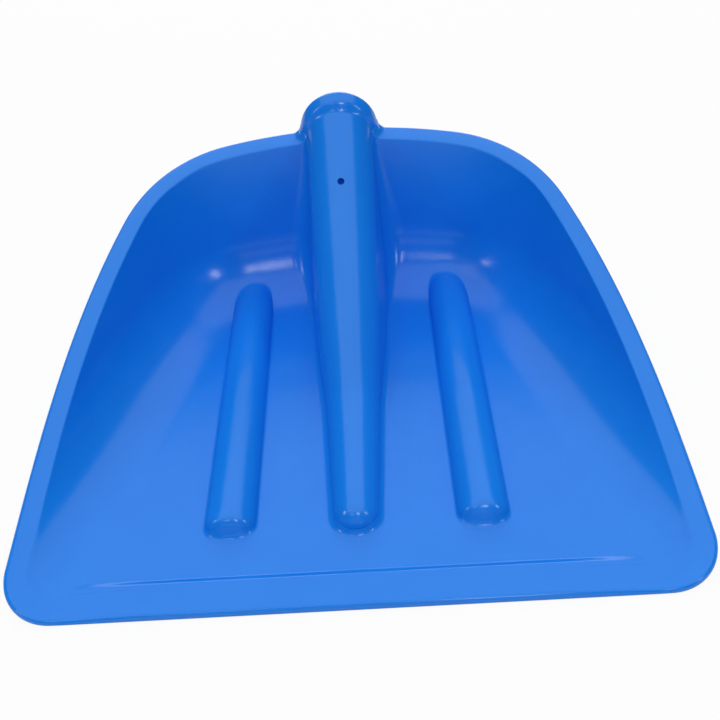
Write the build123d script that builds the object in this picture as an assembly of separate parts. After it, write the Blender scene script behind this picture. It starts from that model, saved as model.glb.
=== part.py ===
"""Feed scoop blade: one injection moulding in blue polypropylene, without its handle.

The blade is a wide tray, open in front, with a bowl-like back. A flat rim flange runs
round the sides and the back. A round socket for a wooden handle comes down through the
back wall on a hollow ridge, and two hollow stiffening ribs lie beside it on the floor.
Each region of the moulding is a closed solid of its own, and the regions meet face to
face. They are built with the leading edge at y = 0 and the top of the floor at z = 0,
and are moved at the end, so that the origin is below the middle of the whole blade.
"""

import math
import os

from build123d import *

# ---- outline of the rim, seen from above ----
blade_width = 360.0
front_corner_radius = 27.4
side_lean = 2.2  # degrees that the sides lean inwards just behind the front corners
side_radius = 585.0
side_turn = 20.2  # degrees that each bowed side turns
shoulder_radius = 88.9
shoulder_turn = 54.3  # degrees that each rear shoulder turns

# ---- height of the rim above the floor, at the front edge and at shares of the length ----
rim_height_front = 3.1
rim_height_quarter = 18.9
rim_height_half = 47.3
rim_height_three_quarter = 77.9
rim_height_back = 104.5

# ---- walls ----
wall = 3.5
wall_draft = 6.0  # degrees from upright
floor_blend_radius = 45.0
flange_width = 12.0
flange_thickness = 3.5
flange_edge_radius = 1.5
corner_wall_front = 196.0  # where the side walls end and the rear corners start
corner_wall_inner = 64.0  # from the middle plane, where the corners meet the back wall

# ---- leading edge ----
lip_depth = 21.0
lip_rise = 1.2
lip_ramp = 3.0
lip_bevel = 1.2

# ---- stiffening ribs ----
rib_spacing = 134.0
rib_width = 27.0
rib_height = 11.5
rib_front = 46.0
rib_wall = 3.0

# ---- handle socket ----
socket_angle = 34.5  # degrees that the handle rises
mouth_y = 290.0
mouth_height = 106.0
mouth_tilt = 10.0  # degrees that the mouth's face looks up
handle_bore_radius = 17.5
bore_seat_length = 70.0
bore_tip_radius = 15.8
bore_depth = 112.0
socket_length = 118.0
socket_mouth_radius = 21.5
socket_tip_radius = 19.5
collar_radius = 25.0
collar_width = 12.0
collar_edge_radius = 3.0
screw_hole_radius = 2.2
screw_hole_distance = 50.0  # from the middle of the mouth, along the bore

# ---- ridge in front of the socket ----
ridge_wall = 3.0
nose_front = 44.0
nose_tip_radius = 12.0
nose_tip_crest = 13.5
nose_slope = 3.6  # degrees that the nose's crest rises towards the back
knee_softness = 3.0  # height that the soft bend below the socket fills in
knee_y = 132.0
knee_half_width = 16.0
ridge_draft = 4.5  # degrees that the ridge's sides lean out on their way down

# ---- clear of everything ----
reach = 60.0

half_width = blade_width / 2


def turned(heading):
    """Unit direction that has turned left from straight back by a number of degrees."""
    angle = math.radians(heading)
    return (-math.sin(angle), math.cos(angle))


def closing_arc(start, heading):
    """Arc that starts with a heading and meets the middle plane square."""
    radius = start.X / math.sin(math.radians(90 - heading))
    return JernArc(start, turned(heading), radius, 90 - heading)


def mirrored_face(edges):
    """Flat face between edges on the right, from front to back, and their mirror image."""
    left = [edge.mirror(Plane.YZ) for edge in edges]
    front = Line(edges[0] @ 0, left[0] @ 0)
    return make_face([*edges, *left, front])


# ---- rim outline ----
corner_start = Vector(half_width - front_corner_radius, 0)
corner_arc = JernArc(corner_start, (1, 0), front_corner_radius, 90 + side_lean)
side_arc = JernArc(corner_arc @ 1, turned(side_lean), side_radius, side_turn)
shoulder_heading = side_lean + side_turn
shoulder_arc = JernArc(side_arc @ 1, turned(shoulder_heading), shoulder_radius, shoulder_turn)
back_heading = shoulder_heading + shoulder_turn
back_arc = closing_arc(shoulder_arc @ 1, back_heading)
blade_length = (back_arc @ 1).Y
outline = mirrored_face([corner_arc, side_arc, shoulder_arc, back_arc])
outline_prism = Pos(0, 0, -reach) * extrude(outline, amount=rim_height_back + 2 * reach)

rim_line = outline.wire()


def outline_edges(shape):
    """A shape's edges that run along the rim's outline, upright ones left out."""
    edges = []
    for edge in shape.edges():
        places = [edge @ share for share in (0.1, 0.5, 0.9)]
        gap = max(rim_line.distance_to(Vertex(p.X, p.Y, 0)) for p in places)
        if gap < 0.05 and abs((edge % 0.5).Z) < 0.9:
            edges.append(edge)
    return edges


# ---- rim heights, seen from the side ----
rim_points = [
    (0, rim_height_front),
    (blade_length / 4, rim_height_quarter),
    (blade_length / 2, rim_height_half),
    (blade_length * 3 / 4, rim_height_three_quarter),
    (blade_length, rim_height_back),
]


def under_rim(drop):
    """Everything that lies more than a drop below the rim's top."""
    top = [Vector(y, z - drop) for y, z in rim_points]
    curve = Spline(*top)
    start = curve @ 0 - (curve % 0) * reach
    end = curve @ 1 + (curve % 1) * reach
    low = -2 * reach
    corners = [end, Vector(end.X, low), Vector(start.X, low), start]
    side = make_face([Line(start, curve @ 0), curve, Line(curve @ 1, end), Polyline(*corners)])
    return extrude(Plane.YZ * side, amount=blade_width, both=True)


rim_curve = Spline(*[Vector(y, z) for y, z in rim_points])


def rim_height(y):
    """Height of the rim above the floor at a distance from the front edge."""
    cut = rim_curve.intersect(Line((y, -reach), (y, 3 * reach)))
    return cut.vertices()[0].Y


def foot_inset(height):
    """How far inside its foot line the inner wall stands at a height, blend included."""
    draft = math.radians(wall_draft)
    if height > floor_blend_radius * (1 - math.sin(draft)):
        return -height * math.tan(draft)
    tangent = floor_blend_radius * math.tan((math.pi / 2 - draft) / 2)
    return tangent - math.sqrt(2 * floor_blend_radius * height - height**2)


def foot_point(share):
    """Point of the inner wall's foot line, inside the rim at a share of the side's bow."""
    point = side_arc @ share
    heading = side_lean + side_turn * share
    inwards = Vector(*turned(heading + 90))
    return point + inwards * (flange_width - foot_inset(rim_height(point.Y)))


# ---- inner wall's foot line: a bowed side, a shoulder and the back ----
foot_side = ThreePointArc(foot_point(0), foot_point(0.5), foot_point(1))
foot_heading = math.degrees(math.atan2(-(foot_side % 1).X, (foot_side % 1).Y))
foot_shoulder_radius = (
    shoulder_radius - flange_width - rim_height_back * math.tan(math.radians(wall_draft))
)
foot_shoulder = JernArc(
    foot_side @ 1, turned(foot_heading), foot_shoulder_radius, back_heading - foot_heading
)
foot_back = closing_arc(foot_shoulder @ 1, back_heading)
foot_start = foot_side @ 0 - (foot_side % 0) * (2 * reach)
foot_lead = Line(foot_start, foot_side @ 0)
foot_face = mirrored_face([foot_lead, foot_side, foot_shoulder, foot_back])


def tray_block(grow):
    """Solid block of the tray's room, grown on every side but its top by a wall."""
    draft = math.radians(wall_draft)
    spread = grow / math.cos(draft) - grow * math.tan(draft)
    face = offset(foot_face, spread, kind=Kind.INTERSECTION) if grow else foot_face
    height = rim_height_back + reach
    block = Pos(0, 0, -grow) * extrude(face, amount=height, taper=-wall_draft)
    bottom = block.faces().sort_by(Axis.Z)[0]
    foot_edges = [edge for edge in bottom.edges() if edge.center().Y > foot_start.Y + grow + 1]
    return fillet(foot_edges, floor_blend_radius + grow)


tray_room = tray_block(0)
tray_outside = tray_block(wall)


def side_prism(points):
    """Prism across the whole blade over a polygon that is drawn from the side."""
    side = make_face(Polyline(*points, close=True).edges())
    return extrude(Plane.YZ * side, amount=blade_width, both=True)


def beyond(plane):
    """Half of space on the side that a plane's normal points to."""
    size = 4 * blade_width
    return plane * Box(size, size, size, align=(Align.CENTER, Align.CENTER, Align.MIN))


# ---- handle socket: a tapered tube along the handle's axis ----
rise_angle = math.radians(socket_angle)
mouth = Vector(0, mouth_y, mouth_height)
handle_dir = Vector(0, math.cos(rise_angle), math.sin(rise_angle))
handle_up = Vector(0, -math.sin(rise_angle), math.cos(rise_angle))
socket_plane = Plane(origin=mouth, x_dir=(1, 0, 0), z_dir=handle_dir)
tip_plane = socket_plane.offset(-socket_length)
tilt = math.radians(mouth_tilt)
mouth_plane = Plane(origin=mouth, x_dir=(1, 0, 0), z_dir=(0, math.cos(tilt), math.sin(tilt)))
collar_plane = mouth_plane.offset(-collar_width)
socket_taper = (socket_mouth_radius - socket_tip_radius) / socket_length


def spun(points):
    """Solid of revolution about the handle's axis, from (radius, place along the axis)."""
    profile = make_face(Polyline(*points, close=True).edges())
    return socket_plane * revolve(Plane.XZ * profile, Axis.Z)


mouth_overrun = 2 * collar_radius
tube = spun([
    (0, -socket_length),
    (socket_tip_radius, -socket_length),
    (socket_mouth_radius + socket_taper * mouth_overrun, mouth_overrun),
    (0, mouth_overrun),
])
bore = spun([
    (0, -bore_depth),
    (bore_tip_radius, -bore_depth),
    (handle_bore_radius, -bore_seat_length),
    (handle_bore_radius, mouth_overrun),
    (0, mouth_overrun),
])
screw_plane = Plane(origin=mouth - handle_dir * screw_hole_distance, z_dir=handle_up)
screw_hole = screw_plane * Cylinder(
    screw_hole_radius, 2 * socket_mouth_radius, align=(Align.CENTER, Align.CENTER, Align.MIN)
)
handle_socket = tube - bore - beyond(mouth_plane) - screw_hole

# ---- collar: a rolled band round the mouth ----
collar_block = socket_plane * Cylinder(collar_radius, 4 * mouth_overrun)
collar_block = collar_block - beyond(mouth_plane)
collar_block = collar_block & beyond(collar_plane)
collar_block = fillet(collar_block.edges().filter_by(GeomType.ELLIPSE), collar_edge_radius)
socket_collar = collar_block - tube

# ---- ridge below the socket, and its nose on the floor ----
tip_point = mouth - handle_dir * socket_length
crest_high = mouth + handle_up * socket_mouth_radius
crest_low = tip_point + handle_up * socket_tip_radius
ramp_slope = (crest_high.Z - crest_low.Z) / (crest_high.Y - crest_low.Y)
nose_centre_y = nose_front + nose_tip_radius


def ridge_crest(y):
    """Height of the ridge's top: the nose's line and the socket's, joined by a soft bend."""
    nose = nose_tip_crest + (y - nose_centre_y) * math.tan(math.radians(nose_slope))
    ramp = crest_low.Z + (y - crest_low.Y) * ramp_slope
    return (nose + ramp) / 2 + math.hypot((ramp - nose) / 2, knee_softness)


def ridge_stretch(y):
    """How much taller than wide the ridge's round top is where its crest climbs."""
    step = 1.0
    slope = (ridge_crest(y + step) - ridge_crest(y - step)) / (2 * step)
    return math.hypot(1, slope)


def ridge_half_width(y):
    """Half the ridge's width at the spring of its round top."""
    stops = [
        (nose_centre_y, nose_tip_radius),
        (knee_y, knee_half_width),
        (crest_low.Y, socket_tip_radius),
        (crest_high.Y, socket_mouth_radius),
    ]
    for (y0, w0), (y1, w1) in zip(stops, stops[1:]):
        if y <= y1:
            break
    return w0 + (w1 - w0) * (y - y0) / (y1 - y0)


def arch_edges(half, spring, crest, low):
    """Right half of an arch: a drafted side, and a quarter of an ellipse as a conic."""
    foot = half + (spring - low) * math.tan(math.radians(ridge_draft))
    side = Line((foot, low), (half, spring))
    top = Bezier((half, spring), (half, crest), (0, crest), weights=(1, math.sqrt(0.5), 1))
    return side, top


def arch_face(y, half, spring, crest, low):
    """Upright arch across the blade at a distance from the front edge."""
    side, top = arch_edges(half, spring, crest, low)
    edges = [side, top, top.mirror(Plane.YZ), side.mirror(Plane.YZ)]
    base = Line(side @ 0, side.mirror(Plane.YZ) @ 0)
    return Plane.XZ.offset(-y) * make_face([*edges, base])


def dome(y, half, spring, crest, low):
    """Round end with the arch's own profile, turned about an upright line."""
    side, top = arch_edges(half, spring, crest, low)
    foot = Line((0, low), side @ 0)
    middle = Line((0, crest), (0, low))
    profile = make_face([foot, side, top, middle])
    downwards = Axis((0, 0, 0), (0, 0, -1))
    return Pos(0, y, 0) * revolve(Plane.XZ * profile, downwards, revolution_arc=180)


def ridge_sizes(y, shrink):
    """Half width, spring height and crest height of the ridge, or of its hollow."""
    half = ridge_half_width(y)
    stretch = ridge_stretch(y)
    crest = ridge_crest(y)
    return half - shrink, crest - half * stretch, crest - shrink * stretch


floor_low = -wall - 1
nose_back_y = crest_low.Y + 2 * reach
nose_steps = 9


def nose_mass(shrink):
    """Solid nose, from its round front end up over the foot of the socket."""
    span = nose_back_y - nose_centre_y
    stations = [nose_centre_y + span * step / nose_steps for step in range(nose_steps + 1)]
    body = loft([arch_face(y, *ridge_sizes(y, shrink), floor_low) for y in stations])
    return body + dome(nose_centre_y, *ridge_sizes(nose_centre_y, shrink), floor_low)


def skirt_mass(shrink):
    """Solid below the socket's widest line, between the ridge's drafted sides."""
    sections = []
    for y in (crest_low.Y - reach / 2, mouth_y + reach / 2):
        half, spring, _ = ridge_sizes(y, shrink)
        foot = half + (spring - floor_low) * math.tan(math.radians(ridge_draft))
        corners = [(foot, floor_low), (half, spring), (-half, spring), (-foot, floor_low)]
        sections.append(Plane.XZ.offset(-y) * make_face(Polyline(*corners, close=True).edges()))
    return loft(sections, ruled=True)


tip_side = beyond(tip_plane)
nose_outside = nose_mass(0) - tip_side
skirt_outside = skirt_mass(0) & tip_side
ridge_outside = [nose_outside, skirt_outside, tube, collar_block]

socket_nose = (nose_outside & tray_outside) - nose_mass(ridge_wall)
skirts = (skirt_outside & tray_outside) - skirt_mass(ridge_wall) - tube - collar_block

# ---- stiffening ribs ----
rib_spring = 0.0
rib_back_y = blade_length + reach


def rib_mass(x, shrink):
    """Solid rib with a round front end; it runs on until the rising back swallows it."""
    half = rib_width / 2 - shrink
    sizes = (half, rib_spring, rib_height - shrink, floor_low)
    start = rib_front + rib_width / 2
    body = extrude(arch_face(start, *sizes), amount=rib_back_y - start, dir=(0, 1, 0))
    return Pos(x, 0, 0) * (body + dome(start, *sizes))


rib_outsides = [rib_mass(x, 0) for x in (-rib_spacing / 2, rib_spacing / 2)]
rib_hollows = [rib_mass(x, rib_wall) for x in (-rib_spacing / 2, rib_spacing / 2)]
left_rib, right_rib = [
    (outside & tray_outside) - hollow for outside, hollow in zip(rib_outsides, rib_hollows)
]


# ---- leading edge: a thicker strip that also carries both front corners ----
outside_profile = tray_outside & outline_prism
rim_plate = (outline_prism & under_rim(0)) - under_rim(flange_thickness)
lip_side = side_prism([
    (-reach, -reach), (lip_depth, -reach), (lip_depth, 3 * reach), (-reach, 3 * reach)
])
lip_room = tray_room & side_prism([
    (-reach, lip_rise),
    (lip_depth - lip_ramp, lip_rise),
    (lip_depth, 0),
    (lip_depth, 3 * reach),
    (-reach, 3 * reach),
])
bevel_room = side_prism([
    (-lip_bevel, 2 * lip_bevel - wall),
    (2 * lip_bevel, -wall - lip_bevel),
    (-lip_bevel, -wall - lip_bevel),
])
front_edge = ((outside_profile & under_rim(0)) + rim_plate) & lip_side
front_edge = front_edge - lip_room - bevel_room

# ---- floor and walls: one shell, cut where the floor starts to curve up ----
tray_shell = (outside_profile & under_rim(flange_thickness)) - tray_room - lip_side
for mass in [*ridge_outside, *rib_outsides]:
    tray_shell = tray_shell - mass

blend_reach = floor_blend_radius * math.tan(math.radians(90 - wall_draft) / 2)
flat_face = offset(foot_face, -blend_reach, kind=Kind.INTERSECTION)
flat_prism = Pos(0, 0, -reach) * extrude(flat_face, amount=2 * reach)
blade_floor = tray_shell & flat_prism
tray_walls = tray_shell - flat_prism


def halves(shape):
    """The left and the right solid of a pair."""
    left, right = sorted(shape.solids(), key=lambda solid: solid.center().X)
    return left, right


corner_front = Plane(origin=(0, corner_wall_front, 0), z_dir=(0, 1, 0))
rear_walls = tray_walls & beyond(corner_front)
left_side_wall, right_side_wall = halves(tray_walls - beyond(corner_front))
back_width = Box(2 * corner_wall_inner, 4 * blade_width, 4 * blade_width)
left_corner_wall, right_corner_wall = halves(rear_walls - back_width)
left_back_wall, right_back_wall = halves(rear_walls & back_width)

# ---- rim flange, in two halves that end at the socket ----
rim_band = rim_plate - tray_room - lip_side - tube - collar_block
rim_band = fillet(outline_edges(rim_band), flange_edge_radius)
left_rim, right_rim = halves(rim_band)
left_skirt, right_skirt = halves(skirts)

nodes = {
    "blade_floor": blade_floor,
    "left_side_wall": left_side_wall,
    "right_side_wall": right_side_wall,
    "left_corner_wall": left_corner_wall,
    "right_corner_wall": right_corner_wall,
    "left_back_wall": left_back_wall,
    "right_back_wall": right_back_wall,
    "front_edge": front_edge,
    "left_rim_flange": left_rim,
    "right_rim_flange": right_rim,
    "handle_socket": handle_socket,
    "socket_collar": socket_collar,
    "left_socket_skirt": left_skirt,
    "right_socket_skirt": right_skirt,
    "socket_nose": socket_nose,
    "left_rib": left_rib,
    "right_rib": right_rib,
}

# ---- stand the blade on its floor, with the origin below the middle of its box ----
boxes = [shape.bounding_box() for shape in nodes.values()]
low_y = min(box.min.Y for box in boxes)
high_y = max(box.max.Y for box in boxes)
shift = Pos(0, -(low_y + high_y) / 2, wall)

os.makedirs("parts", exist_ok=True)
for name, shape in nodes.items():
    print(name, len(shape.solids()), round(shape.volume), shape.is_valid)
    export_step(shift * shape, f"parts/{name}.step")
print("overall depth", high_y - low_y)
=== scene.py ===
"""Feed scoop blade: one glossy blue moulding, waiting for its wooden handle.

Every shape is worked out in millimetres, with the leading edge at y = 0 and the top of
the floor at z = 0. in_place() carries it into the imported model's own frame, in metres.
"""

import math

import bmesh
import bpy
import numpy as np
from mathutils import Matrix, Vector


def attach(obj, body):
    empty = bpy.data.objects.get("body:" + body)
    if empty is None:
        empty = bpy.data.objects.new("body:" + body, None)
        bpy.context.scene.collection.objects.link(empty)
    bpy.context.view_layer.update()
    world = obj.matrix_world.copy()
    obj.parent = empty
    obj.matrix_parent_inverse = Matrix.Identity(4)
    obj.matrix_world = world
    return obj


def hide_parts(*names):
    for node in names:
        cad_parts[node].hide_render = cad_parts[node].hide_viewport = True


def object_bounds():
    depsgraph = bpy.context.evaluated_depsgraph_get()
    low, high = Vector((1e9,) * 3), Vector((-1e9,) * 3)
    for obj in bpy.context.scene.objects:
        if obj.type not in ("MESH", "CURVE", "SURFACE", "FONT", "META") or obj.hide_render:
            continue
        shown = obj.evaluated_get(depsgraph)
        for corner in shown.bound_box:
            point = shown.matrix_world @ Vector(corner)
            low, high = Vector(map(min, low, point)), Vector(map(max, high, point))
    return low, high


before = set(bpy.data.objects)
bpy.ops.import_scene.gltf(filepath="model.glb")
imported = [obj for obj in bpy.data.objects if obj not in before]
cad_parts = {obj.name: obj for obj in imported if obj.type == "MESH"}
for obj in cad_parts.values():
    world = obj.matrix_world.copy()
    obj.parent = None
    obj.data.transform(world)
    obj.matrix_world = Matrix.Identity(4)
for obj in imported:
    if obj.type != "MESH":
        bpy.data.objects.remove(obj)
cad_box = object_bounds()

# ---- Blue plastic ----
# The whole blade is one polypropylene moulding, coloured right through. It has a clean
# gloss with a very slight orange peel, faint flow marks, and a few rubbed places.


def noise_mask():
    """Shader group: a soft mask from 0 to 1, out of two scales of noise over the object."""
    group = bpy.data.node_groups.new("noise mask", "ShaderNodeTree")
    group.interface.new_socket("Coarse", in_out="INPUT", socket_type="NodeSocketFloat")
    group.interface.new_socket("Fine", in_out="INPUT", socket_type="NodeSocketFloat")
    group.interface.new_socket("Mask", in_out="OUTPUT", socket_type="NodeSocketFloat")
    nodes, links = group.nodes, group.links
    given, put_out = nodes.new("NodeGroupInput"), nodes.new("NodeGroupOutput")
    place = nodes.new("ShaderNodeTexCoord")
    noises = []
    for socket in ("Coarse", "Fine"):
        noise = nodes.new("ShaderNodeTexNoise")
        noise.inputs["Detail"].default_value = 3.0
        links.new(place.outputs["Object"], noise.inputs["Vector"])
        links.new(given.outputs[socket], noise.inputs["Scale"])
        noises.append(noise)
    blend = nodes.new("ShaderNodeMath")
    blend.operation = "MULTIPLY"
    links.new(noises[0].outputs["Fac"], blend.inputs[0])
    links.new(noises[1].outputs["Fac"], blend.inputs[1])
    spread = nodes.new("ShaderNodeMapRange")
    spread.inputs["From Min"].default_value = 0.12
    spread.inputs["From Max"].default_value = 0.42
    links.new(blend.outputs["Value"], spread.inputs["Value"])
    links.new(spread.outputs["Result"], put_out.inputs["Mask"])
    return group


soft_noise = noise_mask()


def moulded_plastic(name, colour, shade, gloss, rubbed_gloss, peel):
    """Plastic whose colour drifts to a shade, with a gloss that dulls where it is rubbed.

    The peel is the strength of the fine, shallow waves that a mould leaves in the skin.
    """
    material = bpy.data.materials.new(name)
    material.use_nodes = True
    nodes, links = material.node_tree.nodes, material.node_tree.links
    plastic = nodes["Principled BSDF"]
    plastic.inputs["Specular IOR Level"].default_value = 0.4
    plastic.inputs["IOR"].default_value = 1.49
    drift = nodes.new("ShaderNodeGroup")
    drift.node_tree = soft_noise
    drift.inputs["Coarse"].default_value = 9.0
    drift.inputs["Fine"].default_value = 60.0
    colours = nodes.new("ShaderNodeMix")
    colours.data_type = "RGBA"
    colours.inputs["A"].default_value = (*colour, 1)
    colours.inputs["B"].default_value = (*shade, 1)
    links.new(drift.outputs["Mask"], colours.inputs["Factor"])
    links.new(colours.outputs["Result"], plastic.inputs["Base Color"])
    rubbed = nodes.new("ShaderNodeGroup")
    rubbed.node_tree = soft_noise
    rubbed.inputs["Coarse"].default_value = 22.0
    rubbed.inputs["Fine"].default_value = 400.0
    polish = nodes.new("ShaderNodeMapRange")
    polish.inputs["To Min"].default_value = gloss
    polish.inputs["To Max"].default_value = rubbed_gloss
    links.new(rubbed.outputs["Mask"], polish.inputs["Value"])
    links.new(polish.outputs["Result"], plastic.inputs["Roughness"])
    place = nodes.new("ShaderNodeTexCoord")
    skin = nodes.new("ShaderNodeTexNoise")
    skin.inputs["Scale"].default_value = 700.0
    skin.inputs["Detail"].default_value = 2.0
    links.new(place.outputs["Object"], skin.inputs["Vector"])
    bump = nodes.new("ShaderNodeBump")
    bump.inputs["Strength"].default_value = peel
    bump.inputs["Distance"].default_value = 0.0002
    links.new(skin.outputs["Fac"], bump.inputs["Height"])
    links.new(bump.outputs["Normal"], plastic.inputs["Normal"])
    return material


blue = moulded_plastic(
    "blue plastic",
    colour=(0.006, 0.21, 0.82),
    shade=(0.008, 0.22, 0.84),
    gloss=0.17,
    rubbed_gloss=0.24,
    peel=0.08,
)

# ---- Floor and walls ----
# One thin shell: a flat floor that sweeps up through a wide blend into drafted walls.
# The whole tray is moulded at one thickness and ends just under the rim.
wall = 3.5
flange_width = 12.0
half_width = 180.0
corner_radius = 27.4
blend_radius = 45.0
draft = math.radians(6.0)  # lean of the tray's walls
blade_length = 290.249
seam_drop = 2.0  # how far below the rim's inner crease the shell ends
lip_rise = 1.5  # height of the step behind the leading edge
lip_end = 17.6, 21.8  # where the step starts to fall, and where it is gone
lip_fade = 110.0, 148.0  # distance from the middle over which the step dies away

rim_bends = (  # radius and turn in degrees of the front corner, the side and the back corner
    (corner_radius, 92.2),
    (585.0, 20.2),
    (88.9, 54.3),
    (None, None),  # the back's arc, which closes the rim square to the middle
)
rim_arcs = []  # centre, radius, first heading and first length of each arc of the rim
place, heading, length = np.array([half_width - corner_radius, 0.0]), 0.0, 0.0
for radius, turn in rim_bends:
    if radius is None:
        turn = 180.0 - math.degrees(heading)
        radius = place[0] / math.sin(math.radians(turn))
    left = np.array([-math.sin(heading), math.cos(heading)])
    rim_arcs.append((place + radius * left, radius, heading, length))
    heading += math.radians(turn)
    length += radius * math.radians(turn)
    place = rim_arcs[-1][0] + radius * np.array([math.sin(heading), -math.cos(heading)])
rim_end = length
corner_end = rim_arcs[1][3]
rim_heights = 3.1, 18.9, 47.3, 77.9, 104.5  # at even steps from the leading edge to the back
rim_curve = np.polyfit(np.linspace(0, 1, 5) * blade_length, rim_heights, 4)


def rim_line(along):
    """Points of the rim's right half, and unit normals that point into the tray.

    The length along is 0 where the front corner starts and negative on the straight
    leading edge. Past 0 a point is an arc's centre plus its radius times
    (sin heading, -cos heading), and the heading grows with the length over the radius.
    """
    along = np.asarray(along, float)
    starts = np.array([arc[3] for arc in rim_arcs])
    which = np.clip(np.searchsorted(starts, along, "right") - 1, 0, len(starts) - 1)
    centres = np.array([arc[0] for arc in rim_arcs])[which]
    radii = np.array([arc[1] for arc in rim_arcs])[which]
    headings = np.array([arc[2] for arc in rim_arcs])[which]
    turned = np.where(along > 0, headings + (along - starts[which]) / radii, 0.0)
    normals = np.stack([-np.sin(turned), np.cos(turned)], -1)
    points = centres - radii[..., None] * normals
    points[..., 0] += np.minimum(along, 0)
    return points, normals


def rim_height(y):
    """Height of the rim over the floor: a quartic through its heights at five places."""
    return np.polyval(rim_curve, y)


def smooth_step(share):
    """0 below 0 and 1 above 1, with level ends between: 3 s^2 - 2 s^3."""
    share = np.clip(share, 0, 1)
    return share * share * (3 - 2 * share)


upright_height = blend_radius * (1 - math.sin(draft))


def wall_spread(height):
    """How far outside the blend's start the inner wall stands at a height: arc, then draft."""
    low = np.clip(height, 0, upright_height)
    arc = np.sqrt(2 * blend_radius * low - low**2)
    return arc + np.maximum(height - upright_height, 0) * math.tan(draft)


def wall_profile(length):
    """Spread and height at a length up the wall: a circle's arc, then its tangent."""
    turn = np.minimum(length / blend_radius, math.pi / 2 - draft)
    rest = length - turn * blend_radius
    spread = blend_radius * np.sin(turn) + rest * math.sin(draft)
    return spread, blend_radius * (1 - np.cos(turn)) + rest * math.cos(draft)


def wall_length(spread):
    """The length up the wall at which the wall has spread that far, the profile's inverse."""
    reach = blend_radius * math.cos(draft)
    turn = np.arcsin(np.clip(spread / blend_radius, 0, math.cos(draft)))
    return turn * blend_radius + np.maximum(spread - reach, 0) / math.sin(draft)


def crease_height(along):
    """Height of the rim's inner crease, one flange's width inside the rim's line."""
    points, normals = rim_line(along)
    return rim_height((points + flange_width * normals)[..., 1])


def blend_inset(along):
    """How far inside the rim's line the floor starts to curve up."""
    return flange_width + wall_spread(crease_height(np.maximum(along, corner_end)))


def seam_inset(along):
    """How far inside the rim's line the shell ends, a little below the crease."""
    height = crease_height(np.maximum(along, corner_end))
    return flange_width + wall_spread(height) - wall_spread(height - seam_drop)


front_fade = blend_inset(corner_end) - corner_radius  # how far the rim runs on at the front


def front_share(along):
    """0 on the sides and 1 on the leading edge, with a smooth step round the corner."""
    return smooth_step((corner_end - along) / (corner_end + front_fade))


def lipped(x, y, height):
    """The floor's height with the leading edge's step l on it: h + l^2 / (h + l)."""
    back = smooth_step((y - lip_end[0]) / (lip_end[1] - lip_end[0]))
    side = smooth_step((np.abs(x) - lip_fade[0]) / (lip_fade[1] - lip_fade[0]))
    lip = lip_rise * (1 - back) * (1 - side)
    return height + lip**2 / (height + lip + 1e-6)


def tray_rows(along, walls, floors):
    """Grid of the tray's right half: rows from the rim's seam down the wall to the middle.

    Each row starts at the seam and goes inwards, square to the rim, down the wall's
    profile at even lengths, and then straight across the floor to x = 0. Round the front
    corner the rows run nearly sideways, and their heights are scaled so that they start
    at the seam's own height, which sinks to the floor's. There the rows also fan out, so
    that they cross the leading edge's step at even distances.
    """
    points, normals = rim_line(along)
    seam = points + seam_inset(along)[:, None] * normals
    side_point, side_normal = (value[0] for value in rim_line(np.array([corner_end])))
    share = np.clip(along / corner_end, 0, 1)
    turned = math.pi / 2 + share * (rim_arcs[1][2] - math.pi / 2)
    sideways = np.stack([-np.sin(turned), np.cos(turned)], -1)
    round_corner = along < corner_end
    inwards = np.where(round_corner[:, None], sideways, normals)
    depth = np.where(round_corner, (seam - side_point) @ side_normal, seam_inset(along))
    spread = blend_inset(along) - depth
    lengths = wall_length(spread)[:, None] * np.linspace(1, 0, walls + 1)
    reach, height = wall_profile(lengths)
    sunk = front_share(along)
    start = (1 - sunk) * (crease_height(along) - seam_drop) + sunk * height[:, 0]
    scale = np.where(round_corner, start / height[:, 0], 1.0)
    plan = seam[:, None] + (spread[:, None] - reach)[..., None] * inwards[:, None]
    foot = plan[:, -1]
    even = foot[0, 1] + share * (np.interp(corner_end, along, foot[:, 1]) - foot[0, 1])
    middle = np.where(round_corner, even, foot[:, 1])[:, None]
    across = np.linspace(0, 1, floors + 1)[1:]
    x = np.hstack([plan[..., 0], foot[:, :1] * (1 - across)])
    y = np.hstack([plan[..., 1], foot[:, 1:] + (middle - foot[:, 1:]) * across])
    z = np.hstack([height * scale[:, None], np.zeros((len(along), floors))])
    return np.stack([x, y, lipped(x, y, z)], -1)


def grid_faces(rows, columns, wrap=False):
    """Quads of a grid of rows times columns points, as indices; wrap joins the columns."""
    index = np.arange(rows * columns).reshape(rows, columns)
    if wrap:
        index = np.hstack([index, index[:, :1]])
    corners = index[:-1, :-1], index[1:, :-1], index[1:, 1:], index[:-1, 1:]
    return np.stack(corners, -1).reshape(-1, 4)


def in_place(points):
    """Millimetres from the leading edge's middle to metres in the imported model's frame."""
    low = cad_box[0]
    shift = np.array([0.0, low[1], low[2] + wall / 1000])
    return np.reshape(points, (-1, 3)) / 1000 + shift


merge_distance = 2e-6  # metres


def plastic_piece(name, points, faces, closed=True):
    """Object of points in millimetres and faces, its doubles merged.

    A closed piece gets its normals outwards, and an open one keeps its faces' own side.
    """
    mesh = bpy.data.meshes.new(name)
    mesh.from_pydata(in_place(points), [], [tuple(face) for face in faces])
    form = bmesh.new()
    form.from_mesh(mesh)
    bmesh.ops.remove_doubles(form, verts=form.verts, dist=merge_distance)
    if closed:
        bmesh.ops.recalc_face_normals(form, faces=form.faces)
        if form.calc_volume(signed=True) < 0:
            bmesh.ops.reverse_faces(form, faces=form.faces)
    form.to_mesh(mesh)
    form.free()
    piece = bpy.data.objects.new(name, mesh)
    bpy.context.scene.collection.objects.link(piece)
    mesh.materials.append(blue)
    return piece


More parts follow.
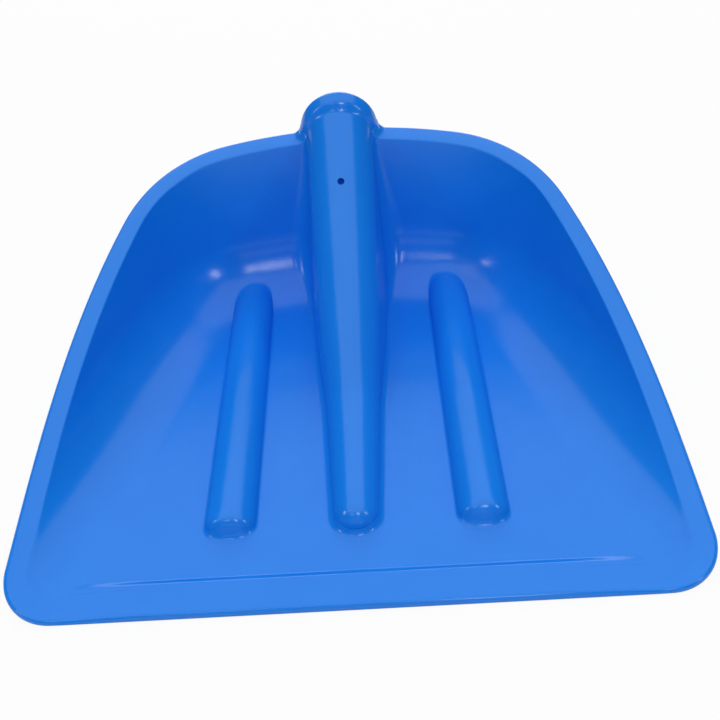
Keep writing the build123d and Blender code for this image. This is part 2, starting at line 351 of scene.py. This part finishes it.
def cut_away(piece, *tools):
    """Takes the tools' solids out of a piece, when its modifiers are applied."""
    for tool in tools:
        cut = piece.modifiers.new("cut", "BOOLEAN")
        cut.operation = "DIFFERENCE"
        cut.solver = "EXACT"
        cut.object = tool


def finished(piece, *nodes, added=None, sharp=35.0):
    graph = bpy.context.evaluated_depsgraph_get()
    mesh = bpy.data.meshes.new_from_object(piece.evaluated_get(graph))
    if added:
        form = bmesh.new()
        form.from_mesh(mesh)
        form.from_mesh(added.data)
        form.to_mesh(mesh)
        form.free()
        bpy.data.objects.remove(added)
    piece.modifiers.clear()
    piece.data = mesh
    mesh.polygons.foreach_set("use_smooth", np.ones(len(mesh.polygons), bool))
    mesh.set_sharp_from_angle(angle=math.radians(sharp))
    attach(piece, "root")
    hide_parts(*nodes)
    return piece


corner_rows, side_rows = 44, 120  # of the shell's grid, along the rim
wall_columns, floor_columns = 56, 10  # and from the rim to the middle
shell_along = np.concatenate([
    np.linspace(0, corner_end, corner_rows, endpoint=False),
    np.linspace(corner_end, rim_end, side_rows + 1),
])
right_half = tray_rows(shell_along, wall_columns, floor_columns)
left_half = right_half[:, ::-1] * (-1, 1, 1)
tray_grid = np.hstack([right_half, left_half[:, 1:]])
shell = plastic_piece("tray_shell", tray_grid, grid_faces(*tray_grid.shape[:2]), closed=False)
thickness = shell.modifiers.new("thickness", "SOLIDIFY")
thickness.thickness = wall / 1000
thickness.offset = -1.0
thickness.use_even_offset = True
thickness.use_quality_normals = True

# ---- Ridge, nose and ribs: the hollow forms on the floor ----
# The handle's socket comes down on a hollow ridge, whose nose reaches towards the
# leading edge, and two hollow ribs stiffen the floor beside it. All are of the same
# moulding, a little thinner than the tray and open below.
socket_angle = math.radians(34.5)
mouth_y, mouth_height = 290.0, 106.0
mouth_radius, tip_radius, socket_length = 21.5, 19.5, 118.0
handle_dir = np.array([0, math.cos(socket_angle), math.sin(socket_angle)])
handle_up = np.array([0, -math.sin(socket_angle), math.cos(socket_angle)])
mouth = np.array([0, mouth_y, mouth_height])
crest_high = mouth + handle_up * mouth_radius
crest_low = mouth - handle_dir * socket_length + handle_up * tip_radius
nose_y, nose_radius, nose_crest = 50.6, 12.0, 13.3
nose_tip_y = 44.0
nose_slope = math.tan(math.radians(3.6))
knee_y, knee_half_width, knee_softness = 132.0, 16.0, 3.0
side_draft = math.tan(math.radians(4.5))
skin = 3.0  # thickness of the hollow forms
ridge_end_y, hollow_end_y = 281.0, 302.0  # where the ridge and its cutter end
ridge_fillet = 0.5  # small, since ridge_foot lays the wider fillet over it


def ridge_crest(y):
    """Height of the ridge's top: two lines joined by a hyperbola's soft bend."""
    ramp_slope = (crest_high[2] - crest_low[2]) / (crest_high[1] - crest_low[1])
    nose = nose_crest + (y - nose_y) * nose_slope
    ramp = crest_low[2] + (y - crest_low[1]) * ramp_slope
    return (nose + ramp) / 2 + np.hypot((ramp - nose) / 2, knee_softness)


def ridge_section(y, inset):
    """Half width, spring height and crest height of the ridge's arch, inset by its skin."""
    half = np.interp(
        y,
        (nose_y, knee_y, crest_low[1], crest_high[1]),
        (nose_radius, knee_half_width, tip_radius, mouth_radius),
    )
    slope = (ridge_crest(y + 1) - ridge_crest(y - 1)) / 2
    stretch = np.hypot(1, slope)
    crest = ridge_crest(y)
    return half - inset, crest - half * stretch, crest - inset * stretch


rib_x, rib_half_width, rib_height, rib_y = 67.0, 13.5, 11.5, 53.4


def rib_section(y, inset):
    """Half width, spring height and crest height of a rib's arch: the same all along."""
    even = np.ones_like(y)
    return (rib_half_width - inset) * even, 0 * even, (rib_height - inset) * even


side_facing = 60.0  # places this far ahead of the back corner's centre face the side


def tray_height(x, y):
    """Height of the tray's surface at a place, or of the rim's top where that is lower.

    The place's depth inside the rim comes from its distance to the arc that it faces.
    The height is the blend's circle, or the drafted wall beyond it.
    """
    x, y = np.broadcast_arrays(np.abs(x), y)
    middle = rim_arcs[2][0]
    facing = np.arctan2(x - middle[0], middle[1] - y) % (2 * math.pi)
    firsts = np.array([arc[2] for arc in rim_arcs])
    which = np.clip(np.searchsorted(firsts, facing, "right") - 1, 1, 3)
    which = np.where(y < middle[1] - side_facing, 1, which)
    centres = np.array([arc[0] for arc in rim_arcs])[which]
    radii = np.array([arc[1] for arc in rim_arcs])[which]
    starts = np.array([arc[3] for arc in rim_arcs])[which]
    away = np.stack([x - centres[..., 0], y - centres[..., 1]], -1)
    depth = radii - np.hypot(away[..., 0], away[..., 1])
    along = starts + radii * (np.arctan2(away[..., 0], -away[..., 1]) - firsts[which])
    spread = np.maximum(blend_inset(along) - depth, 0)
    _, height = wall_profile(wall_length(spread))
    return np.minimum(height, rim_height(y))


fillet_steps, arch_steps = 8, 22
nose_blunt, rib_blunt = 0.95, 0.6  # length of a round front end over half its width
nose_power, rib_power = 0.95, 0.8  # how round its outline is: 1 is an ellipse
dome_steps = 24
dome_turn = np.linspace(0, math.pi / 2, dome_steps, endpoint=False)


def arch_half(x0, y, section, fillet):
    """Right half of one hollow form's outside, from foot to crest, for each y.

    A quarter circle of the fillet's radius leaves the tray's surface, the drafted side
    goes on up from it, and an ellipse's quarter closes it: x = half sqrt(1 - t^2), where
    t is the share of the way from spring to crest. Steps are even along the way up.
    """
    half, spring, crest = (value[:, None] for value in section(y, 0.0))
    fillet = fillet[:, None]
    y = y[:, None]
    turn = np.linspace(0, math.pi / 2, fillet_steps + 1)[None, :]

    def width(z):
        share = np.clip((z - spring) / (crest - spring), 0, 1)
        drafted = half + (spring - z) * side_draft
        return np.where(z < spring, drafted, half * np.sqrt(1 - share**2))

    base = tray_height(x0 + half, y)
    rise = fillet * (1 - np.cos(turn))
    foot_x = width(base + rise) + fillet * (1 - np.sin(turn))
    foot_z = tray_height(x0 + foot_x, y) + rise
    low = foot_z[:, -1:]
    side = np.maximum(spring - low, 0)
    first = np.arcsin(np.clip((low - spring) / (crest - spring), 0, 1))
    arc = (math.pi / 2 - first) * (half + crest - spring) / 2
    way = np.linspace(0, 1, arch_steps + 1)[None, 1:] * (side + arc)
    angle = first + (way - side) / arc * (math.pi / 2 - first)
    up_z = np.where(way < side, low + way, spring + (crest - spring) * np.sin(angle))
    up_x = np.where(way < side, half + (spring - up_z) * side_draft, half * np.cos(angle))
    return np.hstack([foot_x, up_x]), np.hstack([foot_z, up_z])


def domed(x, y, z, blunt, power, start=None):
    """The grid's first row swept round a blunt end, and put in front of the grid.

    At a turn of a, a point that stood r from the middle stands at
    (r sin a^p, y - blunt r cos a^p) with a power p up to 1, a superellipse in plan.
    Where the section changes round the end, start holds its x and z for each turn.
    """
    turn = dome_turn[:, None]
    across, ahead = np.sin(turn) ** power, np.cos(turn) ** power
    start_x, start_z = (x[:1], z[:1]) if start is None else start
    front = start_x * across, y[:1] - blunt * start_x * ahead, start_z + 0 * turn
    return [np.vstack(pair) for pair in zip(front, (x, np.broadcast_to(y, x.shape), z))]


def closed_form(name, x0, x, y, z, floor):
    """Solid between a form's arch and the floor's surface under it, mirrored about x0."""
    x = np.hstack([-x, x[:, -2::-1]])
    y = np.hstack([y, y[:, -2::-1]])
    top = np.stack([x0 + x, y, np.hstack([z[0], z[1][:, -2::-1]])], -1)
    under = np.stack([x0 + x, y, floor(x0 + x, y)], -1)[:, ::-1]
    rows, columns = x.shape
    loops = np.hstack([top, under])
    faces = grid_faces(rows, 2 * columns, wrap=True)
    last = (rows - 1) * 2 * columns + np.arange(columns)
    twin = (rows - 1) * 2 * columns + 2 * columns - 1 - np.arange(columns)
    end = np.stack([last[:-1], last[1:], twin[1:], twin[:-1]], -1)
    return plastic_piece(name, loops, np.vstack([faces, end]))


tool_depth = 2.0 * wall  # how far below the floor's top a cutter's sides go
tool_base = 0.5  # and its base is this much lower still


def hollow_tool(name, x0, y, section, blunt):
    """Cutter with the arch's inner profile, from below the floor up, with a round front."""
    half, spring, crest = (value[:, None] for value in section(y, skin))
    low = -tool_depth
    angle = np.linspace(0, math.pi / 2, arch_steps + 1)
    foot = half + (spring - low) * side_draft
    x = np.hstack([foot, half * np.cos(angle)])
    z = np.hstack([low + 0 * foot, spring + (crest - spring) * np.sin(angle)])
    x, y, z = domed(x, y[:, None], z, blunt, rib_power)
    tool = closed_form(name, x0, x, y, (z, z), lambda x, y: low - tool_base + 0 * x)
    return tool


lift = 0.02  # keeps an added form's edge just proud of the tray's facets
root_depth = 1.0  # how far an added form reaches into the tray's thickness


def below_tray(x, y):
    """Height a little inside the tray's thickness, under an added form."""
    return tray_height(x, y) - root_depth


crease_y = rim_line(rim_end)[0][1] - flange_width
wall_start_y = rim_line(rim_end)[0][1] - blend_inset(np.array([rim_end]))[0]
up_wall = np.linspace(0, wall_length(crease_y - wall_start_y), 76)
dome_y = nose_tip_y + nose_blunt * nose_radius
row_step, row_gap = 2.5, 2.0  # spacing of rows on the floor, and the least before the blend
ridge_y = np.concatenate([
    np.arange(dome_y, wall_start_y - row_gap, row_step),
    wall_start_y + wall_profile(up_wall)[0],
    np.linspace(crease_y, ridge_end_y, 5)[1:],
])
ridge_x, ridge_z = arch_half(0.0, ridge_y, ridge_section, ridge_fillet + 0 * ridge_y)
ridge_x, ridge_rows, ridge_z = domed(ridge_x, ridge_y[:, None], ridge_z, nose_blunt, nose_power)
ridge_z = ridge_z + lift
ridge = closed_form("socket_ridge", 0.0, ridge_x, ridge_rows, (ridge_z, ridge_z), below_tray)
ridge_hollow = hollow_tool(
    "ridge_hollow", 0.0, np.arange(dome_y, hollow_end_y, 4.0), ridge_section, nose_blunt
)


def ridge_side(y, z):
    """Half width of the ridge at a height: its drafted side, or its ellipse higher up."""
    half, spring, crest = ridge_section(y, 0.0)
    share = np.clip((z - spring) / (crest - spring), 0, 0.999)
    drafted = half + (spring - z) * side_draft
    return np.where(z < spring, drafted, half * np.sqrt(1 - share**2))


arc_steps = 12  # of a fillet's arc
seat_rounds, seat_share = 30, 0.8  # rounds that seat its ball, and the share each makes up


def foot_rows(length, ball):
    """Sections of the fillet that a ball leaves, rolled up the tray along the ridge.

    At a length up the wall the tray's normal leans by the blend's turn towards the middle
    of the back wall's arc. The ball's centre stands a radius off the tray, and its place
    across is moved until it is a radius off the ridge's side too. The visible arc runs
    between the two contacts, and the section closes inside both walls.
    """
    centre, radius = rim_arcs[3][0], rim_arcs[3][1]
    lean = np.clip(length / blend_radius, 0, math.pi / 2 - draft)
    spread, height = wall_profile(np.maximum(length, 0))
    x = ridge_side(wall_start_y + length, height) + ball
    for _ in range(seat_rounds):
        along = rim_end - radius * np.arcsin(x / radius)
        reach = radius - blend_inset(along) + spread + np.minimum(length, 0)
        y = centre[1] + np.sqrt(reach**2 - x**2)
        to_tray = np.stack([
            -np.sin(lean) * x / reach, -np.sin(lean) * (y - centre[1]) / reach, np.cos(lean)
        ], -1)
        middle = np.stack([x, y, height], -1) + (ball + lift)[:, None] * to_tray
        slope_y = ridge_side(middle[:, 1] + 0.5, middle[:, 2])
        slope_y = slope_y - ridge_side(middle[:, 1] - 0.5, middle[:, 2])
        slope_z = ridge_side(middle[:, 1], middle[:, 2] + 0.5)
        slope_z = slope_z - ridge_side(middle[:, 1], middle[:, 2] - 0.5)
        to_ridge = np.stack([np.ones_like(x), -slope_y, -slope_z], -1)
        steepness = np.linalg.norm(to_ridge, axis=-1)
        gap = (middle[:, 0] - ridge_side(middle[:, 1], middle[:, 2])) / steepness
        x = x + seat_share * (ball + lift - gap)
    to_ridge = to_ridge / steepness[:, None]
    opening = np.arccos((to_tray * to_ridge).sum(-1))[:, None, None]
    t = np.linspace(0, 1, arc_steps + 1)[:, None]
    arc = np.sin((1 - t) * opening) * to_tray[:, None] + np.sin(t * opening) * to_ridge[:, None]
    arc = middle[:, None] - ball[:, None, None] * arc / np.sin(opening)
    deep = (ball + lift + root_depth)[:, None]
    corner = middle - deep * (to_tray + to_ridge) / (1 + np.cos(opening[:, 0]))
    inside = [middle - deep * to_ridge, corner, middle - deep * to_tray]
    return np.concatenate([arc, np.stack(inside, 1)], 1)


collar_radius = 25.0
low_ball, ball_growth = 4.5, 8.5  # the foot's radius on the floor, and what the blend adds
growth_length, fade_start, fade_length = 50.0, 55.0, 70.0  # lengths up the wall
sweep_insets = 8.0, flange_width  # between them its side changes from collar to ridge
sweep_radii = 6.0, low_ball
sweep_fade = 12.0  # length over which the foot's top rises with the sweep


def collar_sweep(x, inset):
    """How far the flange's top sweeps up beside the collar: a quarter circle in x.

    Its radius, and the side it meets, shrink from the collar's to the ridge's inwards.
    """
    radius = np.interp(inset, sweep_insets, sweep_radii)
    meets = np.interp(inset, sweep_insets, (collar_radius, mouth_radius))
    near = np.clip(meets + radius - np.abs(x), 0, radius)
    return radius - np.sqrt(radius**2 - near**2)


foot_short = 0.4  # how far below the rim's crease the foot stops
foot_length = np.concatenate([
    np.arange(dome_y - wall_start_y, -row_gap, row_step),
    np.linspace(0, up_wall[-1] - foot_short, 70),
])
growing = smooth_step(foot_length / growth_length)
fading = smooth_step((foot_length - fade_start) / fade_length)
foot_ball = low_ball + ball_growth * growing * (1 - fading)
foot_x, foot_y, foot_z = np.moveaxis(foot_rows(foot_length, foot_ball), -1, 0)
near_top = smooth_step((foot_length - foot_length[-1] + sweep_fade) / sweep_fade)[:, None]
foot_rise = near_top * collar_sweep(foot_x, flange_width)
foot_y, foot_z = foot_y + foot_rise * math.tan(draft), foot_z + foot_rise
foot_grid = np.stack(domed(foot_x, foot_y, foot_z, nose_blunt, nose_power), -1)
foot_grid = np.concatenate([foot_grid[::-1], foot_grid[1:] * (-1, 1, 1)])
foot_count, foot_columns = foot_grid.shape[:2]
foot_ends = [
    list(range(foot_columns)),
    list(range((foot_count - 1) * foot_columns, foot_count * foot_columns)),
]
foot_faces = [*grid_faces(foot_count, foot_columns, wrap=True), *foot_ends]
ridge_foot = plastic_piece("ridge_foot", foot_grid, foot_faces)

# ---- Handle socket: a tapered tube for a wooden handle ----
# The bore is cylindrical where the handle seats, then narrows. The tube is moulded in
# one with the ridge, and its mouth is cut nearly upright.
mouth_tilt = math.radians(10.0)  # lean of the mouth's face from upright
turns = np.linspace(0, 2 * math.pi, 96, endpoint=False)


def rounded_corners(keys, reaches, steps=6):
    """Loops of corners, each rounded by the arc that is tangent a reach from the corner.

    With a and b a reach away towards the neighbours, the arc is the conic
    ((1-t)^2 a + 2 w t (1-t) corner + t^2 b) / ((1-t)^2 + 2 w t (1-t) + t^2), and its
    weight w is the sine of half the corner's angle.
    """
    before, after = np.roll(keys, 1, 1) - keys, np.roll(keys, -1, 1) - keys
    before /= np.maximum(np.linalg.norm(before, axis=-1, keepdims=True), 1e-9)
    after /= np.maximum(np.linalg.norm(after, axis=-1, keepdims=True), 1e-9)
    weight = np.sqrt((1 - (before * after).sum(-1)) / 2)[..., None, None]
    reach = np.broadcast_to(reaches, keys.shape[:2])[..., None]
    start, end = (keys + reach * before)[:, :, None], (keys + reach * after)[:, :, None]
    t = np.linspace(0, 1, steps)[:, None]
    shares = (1 - t) ** 2, 2 * weight * t * (1 - t), t**2
    curve = shares[0] * start + shares[1] * keys[:, :, None] + shares[2] * end
    return (curve / sum(shares)).reshape(len(keys), -1, 2)


def mouth_cut(radius, along):
    """Place along the axis, outwards, of a corner at each turn round the mouth's own cut.

    The mouth is cut nearly upright, so a corner at a turn a stands further out by its
    height over the axis, radius sin a, times the tangent of the lean from a square cut.
    """
    return radius * np.sin(turns) * math.tan(socket_angle - mouth_tilt) - along


def turned_loops(name, loops):
    """Closed loops of (radius, place along the axis), one for each turn about the axis."""
    radius, out = loops[..., 0], loops[..., 1]
    across, up = radius * np.cos(turns)[:, None], radius * np.sin(turns)[:, None]
    points = mouth + out[..., None] * handle_dir + up[..., None] * handle_up
    points = points + across[..., None] * np.array([1.0, 0, 0])
    closed = np.vstack([points, points[:1]])
    return plastic_piece(name, closed, grid_faces(*closed.shape[:2], wrap=True))


bore_radius, seat_length, bore_tip, bore_depth = 17.5, 70.0, 15.8, 112.0
tube_gap = 0.08  # the tube's skin stays just under the ridge's
tube_shoulder = 8.0  # how far behind the mouth, hidden by the collar, it meets that skin
collar_inside, collar_gap = 20.32, 0.02  # the collar's inner radius, and its gap to the tube
tube_keys = [
    (collar_inside - collar_gap, mouth_cut(collar_inside, 0)),
    (mouth_radius - tube_gap, mouth_cut(mouth_radius, tube_shoulder)),
    (tip_radius - tube_gap, -socket_length),
    (0, -socket_length),
    (0, -bore_depth),
    (bore_tip, -bore_depth),
    (bore_radius, -seat_length),
    (bore_radius, mouth_cut(bore_radius, 0)),
]


def corner_loops(keys):
    """Corners of a section as an array of turns, corners and (radius, place)."""
    even = np.ones_like(turns)
    return np.stack([np.stack([even * radius, even * out], -1) for radius, out in keys], 1)


tube_edges = 0, 0, 1, 0, 0, 1, 2, 0.8  # reach of each corner's arc
tube_loops = rounded_corners(corner_loops(tube_keys), [tube_edges])
tube = turned_loops("handle_tube", tube_loops)
room_radius, room_start, room_end = 18.5, 20.0, -116.0  # the hollow that the tube fills
bore_keys = [(0, room_start), (room_radius, room_start), (room_radius, room_end), (0, room_end)]
bore_tool = turned_loops("bore_room", corner_loops(bore_keys))

# A small hole for a screw goes through the top of the ridge and the tube.
hole_radius, hole_distance = 2.2, 50.0
hole_reach = 5.0, 40.0  # from the axis up to past the crest
hole_sides = 32
turn = np.linspace(0, 2 * math.pi, hole_sides, endpoint=False)
hole_middle = mouth - hole_distance * handle_dir
hole_rows = np.array(hole_reach)[:, None, None] * handle_up + hole_middle
hole_ring = hole_radius * (
    np.cos(turn)[:, None] * np.array([1.0, 0, 0]) + np.sin(turn)[:, None] * handle_dir
)
hole_ends = hole_rows + 0 * hole_ring
hole_points = np.stack([hole_ends[0], *(hole_rows + hole_ring), hole_ends[1]])
hole_tool = plastic_piece("hole_room", hole_points, grid_faces(4, hole_sides, wrap=True))
cut_away(tube, hole_tool)
finished(tube, "handle_socket")
cut_away(ridge, ridge_hollow, bore_tool, hole_tool)
finished(ridge, "socket_nose", "left_socket_skirt", "right_socket_skirt", added=ridge_foot)

# ---- Collar: the rolled band round the socket's mouth ----
# A thicker ring of the same plastic stiffens the mouth, where the handle levers on it. Its
# outer edge is round, and it runs out softly on the ridge and the flange.
collar_foot, collar_edge, collar_softness = 21.35, 3.0, 2.2
collar_slope, collar_tail = 4.0, 5.0  # length of its fall to the foot, and of its hidden end
collar_tuck = 0.12  # how much the hidden end narrows
collar_width = 12.0  # square to the mouth's face
collar_length = collar_width / math.cos(socket_angle - mouth_tilt)  # and along the axis
collar_keys = [
    (collar_inside, mouth_cut(collar_inside, 0)),
    (collar_radius, mouth_cut(collar_radius, 0)),
    (collar_radius, mouth_cut(collar_radius, collar_length - collar_slope)),
    (collar_foot, mouth_cut(collar_foot, collar_length)),
    (collar_foot - collar_tuck, mouth_cut(collar_foot, collar_length + collar_tail)),
    (collar_inside, mouth_cut(collar_inside, collar_length + collar_tail)),
]
face_lean = np.arctan(np.sin(turns) * math.tan(socket_angle - mouth_tilt))
outer_reach = collar_edge / np.tan((math.pi / 2 - face_lean) / 2)
sharp_edge, soft_edge = np.zeros_like(turns), collar_softness + np.zeros_like(turns)
collar_reach = np.stack(
    [sharp_edge, outer_reach, soft_edge, soft_edge, sharp_edge, sharp_edge], -1
)
collar_loops = rounded_corners(corner_loops(collar_keys), collar_reach, steps=9)
collar = turned_loops("mouth_collar", collar_loops)
finished(collar, "socket_collar")

# ---- Stiffening ribs ----
# Two hollow ribs with round fronts are moulded in the floor beside the ridge. They run
# back until the rising tray swallows them.
rib_hollow_end = 244.0
rib_fillet, end_ball = 1.5, 6.0  # the fillet along a rib, and round the middle of its end
rib_merge_y, rib_end_y = 216.0, 262.0  # where the tray starts to rise to it, and is above it
rib_blend = 8  # power of the mean that softens the line where a rib sinks into the tray
rib_rows = np.concatenate([
    np.arange(rib_y, rib_merge_y, 3.0),
    np.arange(rib_merge_y, rib_end_y, 1.0),
])
rib_tools = []
for side, node in ((-1, "left_rib"), (1, "right_rib")):
    rib_x0 = side * rib_x
    end_fillet = rib_fillet + (end_ball - rib_fillet) * np.cos(dome_turn) ** 2
    profile = arch_half(rib_x0, rib_y + 0 * end_fillet, rib_section, end_fillet)
    first = np.array([rib_y])
    along_x, along_z = arch_half(rib_x0, first, rib_section, np.array([rib_fillet]))
    even_x, even_z = along_x + 0 * rib_rows[:, None], along_z + 0 * rib_rows[:, None]
    rows_x, rows_y, rows_z = domed(
        even_x, rib_rows[:, None], even_z, rib_blunt, rib_power, profile
    )
    halves = []
    for across in (-1, 1):
        base = tray_height(rib_x0 + across * rows_x, rows_y)
        halves.append((base**rib_blend + rows_z**rib_blend) ** (1 / rib_blend) + lift)
    rib = closed_form(node + "_form", rib_x0, rows_x, rows_y, halves, below_tray)
    tool = hollow_tool(
        node + "_hollow", rib_x0, np.arange(rib_y, rib_hollow_end, 4.0), rib_section, rib_blunt
    )
    rib_tools.append(tool)
    cut_away(rib, tool)
    finished(rib, node)

cut_away(shell, ridge_hollow, bore_tool, *rib_tools)
finished(
    shell, "blade_floor", "left_side_wall", "right_side_wall", "left_corner_wall",
    "right_corner_wall", "left_back_wall", "right_back_wall",
)

# ---- Rim and leading edge ----
# The rim is a flange of the same moulding turned outwards, softly crowned, with a rounded
# outer edge. Round the front corners it sinks into the leading edge, a little thicker.
outer_floor = blend_radius + wall  # radius of the blend's outside
under_drop = 3.5  # how far the flange's underside is below the rim's line
tube_meets = 18.6  # half width at which the flange ends inside the tube's wall
crown = 0.9  # how far the flange's top falls to its outer edge
front_under = 9.0  # how far in the leading edge's underside reaches
crease_edge, top_edge, bottom_edge, under_edge = 0.9, 2.0, 1.3, 1.5  # reaches of its arcs
last_inset = 2.5  # of the last point of the top before its outer edge
top_steps = 10


def outer_spread(height):
    """How far outside the blend's start the wall's outside stands at a height."""
    turn_height = blend_radius - outer_floor * math.sin(draft)
    low = np.clip(blend_radius - height, outer_floor * math.sin(draft), outer_floor)
    rest = np.maximum(height - turn_height, 0) * math.tan(draft)
    return np.sqrt(outer_floor**2 - low**2) + rest


def band_rows(along):
    """Closed sections of the rim along its line, square to it, as a grid of points.

    The corners of a section, outwards from the tray, are the seam, the crease, the outer
    top, the outer bottom, the wall below the flange, and the wall's outside at the seam.
    Each is a mixture, by the front share, of its place on the side and its place on the
    leading edge. The top is crowned: it falls by crown (1 - e / width)^2 at an inset e.
    Beside the collar it sweeps up by a quarter circle.
    """
    points, normals = rim_line(along)
    sunk = front_share(along)
    seam = seam_inset(along)
    side_point, side_normal = (value[0] for value in rim_line(np.array([corner_end])))
    corner_points = points + seam[:, None] * normals
    depth = np.where(along < corner_end, (corner_points - side_point) @ side_normal, 0)
    spread = np.maximum(blend_inset(along) - depth, 0) * (along < corner_end)
    base = blend_radius - np.sqrt(blend_radius**2 - np.minimum(spread, blend_radius) ** 2)
    crease = crease_height(along)

    def top(inset):
        x, y = (points + inset * normals).T
        crowned = rim_height(y) - crown * (1 - inset / flange_width) ** 2
        crowned = crowned + collar_sweep(x, inset)
        return lipped(x, y, (1 - sunk) * crowned + sunk * base)

    seam_x, seam_y = (points + seam[:, None] * normals).T
    seam_height = (1 - sunk) * (crease - seam_drop) + sunk * base
    wall_turn = np.arcsin(
        np.clip(wall_spread(crease - seam_drop) / blend_radius, 0, math.cos(draft))
    )
    under = rim_height(points[:, 1]) - under_drop
    turn_in = blend_inset(along) - outer_spread(crease - under_drop)
    even = np.ones_like(along)
    insets = np.append(np.linspace(flange_width, last_inset, top_steps - 1), 0)
    tops = [(inset * even, top(inset)) for inset in insets]
    corners = [
        (seam, lipped(seam_x, seam_y, seam_height)),
        *tops,
        (0 * even, (1 - sunk) * under - sunk * wall),
        (
            (1 - sunk) * turn_in + sunk * front_under,
            (1 - sunk) * (crease - under_drop) - sunk * wall,
        ),
        (
            seam - (1 - sunk) * wall * np.sin(wall_turn),
            seam_height - wall * ((1 - sunk) * np.cos(wall_turn) + sunk),
        ),
    ]
    keys = np.stack([np.stack(corner, -1) for corner in corners], 1)
    soft = np.zeros(keys.shape[:2])
    soft[:, 1], soft[:, top_steps] = crease_edge, top_edge
    soft[:, top_steps + 1], soft[:, top_steps + 2] = bottom_edge, under_edge
    loops = rounded_corners(keys, soft)
    plan = points[:, None] + loops[..., :1] * normals[:, None]
    return np.concatenate([plan, loops[..., 1:]], -1)


def band_piece(name, rows):
    """Closed solid of a row of closed sections, with a flat end at either side."""
    count, columns = rows.shape[:2]
    ends = [list(range(columns)), list(range((count - 1) * columns, count * columns))]
    return plastic_piece(name, rows, [*grid_faces(count, columns, wrap=True), *ends])


flange_end = rim_end - rim_arcs[3][1] * math.asin(tube_meets / rim_arcs[3][1])
fine_length, fine_step = 14.0, 0.5  # the sweep beside the collar needs finer rows
flange_along = np.concatenate([
    np.linspace(corner_end, flange_end - fine_length, 125),
    np.arange(flange_end - fine_length + fine_step, flange_end + fine_step / 2, fine_step),
])
flange_rows = band_rows(flange_along)
finished(band_piece("right_rim", flange_rows), "right_rim_flange")
finished(band_piece("left_rim", flange_rows * (-1, 1, 1)), "left_rim_flange")
front_middle = corner_radius - half_width
front_along = np.concatenate([
    np.linspace(front_middle, -2 * front_fade, 6, endpoint=False),
    np.linspace(-2 * front_fade, corner_end, 80),
])
front_rows = band_rows(front_along)
whole_front = np.concatenate([front_rows[::-1], front_rows[1:] * (-1, 1, 1)])
finished(band_piece("leading_edge", whole_front), "front_edge")

for tool in (ridge_hollow, bore_tool, hole_tool, *rib_tools):
    bpy.data.objects.remove(tool)

# ---- Floor, light and camera ----
# The blade lies on a pale studio floor, under a wide soft light from above and one behind.
# Small lamps in front and at the sides put spots of light on its round ends and hollows.
bpy.ops.mesh.primitive_plane_add(size=8, location=(0, 0, 0))
ground = bpy.context.object
ground.name = "studio_floor"
pale = bpy.data.materials.new("studio pale")
pale.use_nodes = True
nodes, links = pale.node_tree.nodes, pale.node_tree.links
paint = nodes["Principled BSDF"]
paint.inputs["Base Color"].default_value = (0.8, 0.8, 0.8, 1)
paint.inputs["Roughness"].default_value = 0.9
paint.inputs["Specular IOR Level"].default_value = 0.0
glow_share = 0.92  # how much of the floor that the camera sees is plain white
glow = nodes.new("ShaderNodeEmission")
glow.inputs["Strength"].default_value = 1.0
seen = nodes.new("ShaderNodeLightPath")
mixed = nodes.new("ShaderNodeMixShader")
share = nodes.new("ShaderNodeMath")
share.operation = "MULTIPLY"
share.inputs[1].default_value = glow_share
links.new(seen.outputs["Is Camera Ray"], share.inputs[0])
links.new(share.outputs["Value"], mixed.inputs["Fac"])
links.new(paint.outputs["BSDF"], mixed.inputs[1])
links.new(glow.outputs["Emission"], mixed.inputs[2])
links.new(mixed.outputs["Shader"], nodes["Material Output"].inputs["Surface"])
ground.data.materials.append(pale)

world = bpy.data.worlds.new("studio")
bpy.context.scene.world = world
world.use_nodes = True
world.node_tree.nodes["Background"].inputs["Color"].default_value = (1, 1, 1, 1)
world.node_tree.nodes["Background"].inputs["Strength"].default_value = 0.05


def soft_light(name, place, target, width, height, power):
    """Rectangular area light at a place, in metres, that looks at a target."""
    light = bpy.data.lights.new(name, "AREA")
    light.shape = "RECTANGLE"
    light.size, light.size_y = width, height
    light.energy = power
    lamp = bpy.data.objects.new(name, light)
    bpy.context.scene.collection.objects.link(lamp)
    lamp.location = place
    lamp.rotation_euler = (Vector(target) - Vector(place)).to_track_quat("-Z", "Y").to_euler()


middle = (0, 0, 0.05)
lamps = (  # name, place, target, width and height in metres, power in watts
    ("ceiling", (0, 0.2, 2.0), (0, 0.201, 0), 3.6, 3.5, 46),
    ("high_left", (-1.4, -1.4, 2.0), middle, 1.2, 1.2, 2.0),
    ("behind", (0, 2.1, 0.85), middle, 2.2, 1.5, 30),
    ("front", (0.23, -1.14, 0.95), middle, 0.2, 0.36, 2.4),
    ("front_left", (-0.355, -1.14, 0.95), middle, 0.16, 0.3, 0.8),
    ("front_low", (0, -1.5, 0.35), middle, 1.2, 0.3, 0.8),
    ("side_right", (0.846, -0.638, 0.52), middle, 0.08, 0.28, 1.3),
    ("side_left", (-0.944, -0.502, 0.53), middle, 0.08, 0.28, 1.3),
)
for lamp in lamps:
    soft_light(*lamp)

camera = bpy.data.cameras.new("camera")
camera.sensor_width = 36
camera.lens = 42.5
camera.clip_start = 0.01
viewer = bpy.data.objects.new("camera", camera)
bpy.context.scene.collection.objects.link(viewer)
viewer.location = (0.0163, -0.37024, 0.36982)
viewer.rotation_euler = tuple(math.radians(angle) for angle in (47.44, 3.298, -1.389))
bpy.context.scene.camera = viewer
bpy.context.scene.view_settings.view_transform = "Standard"
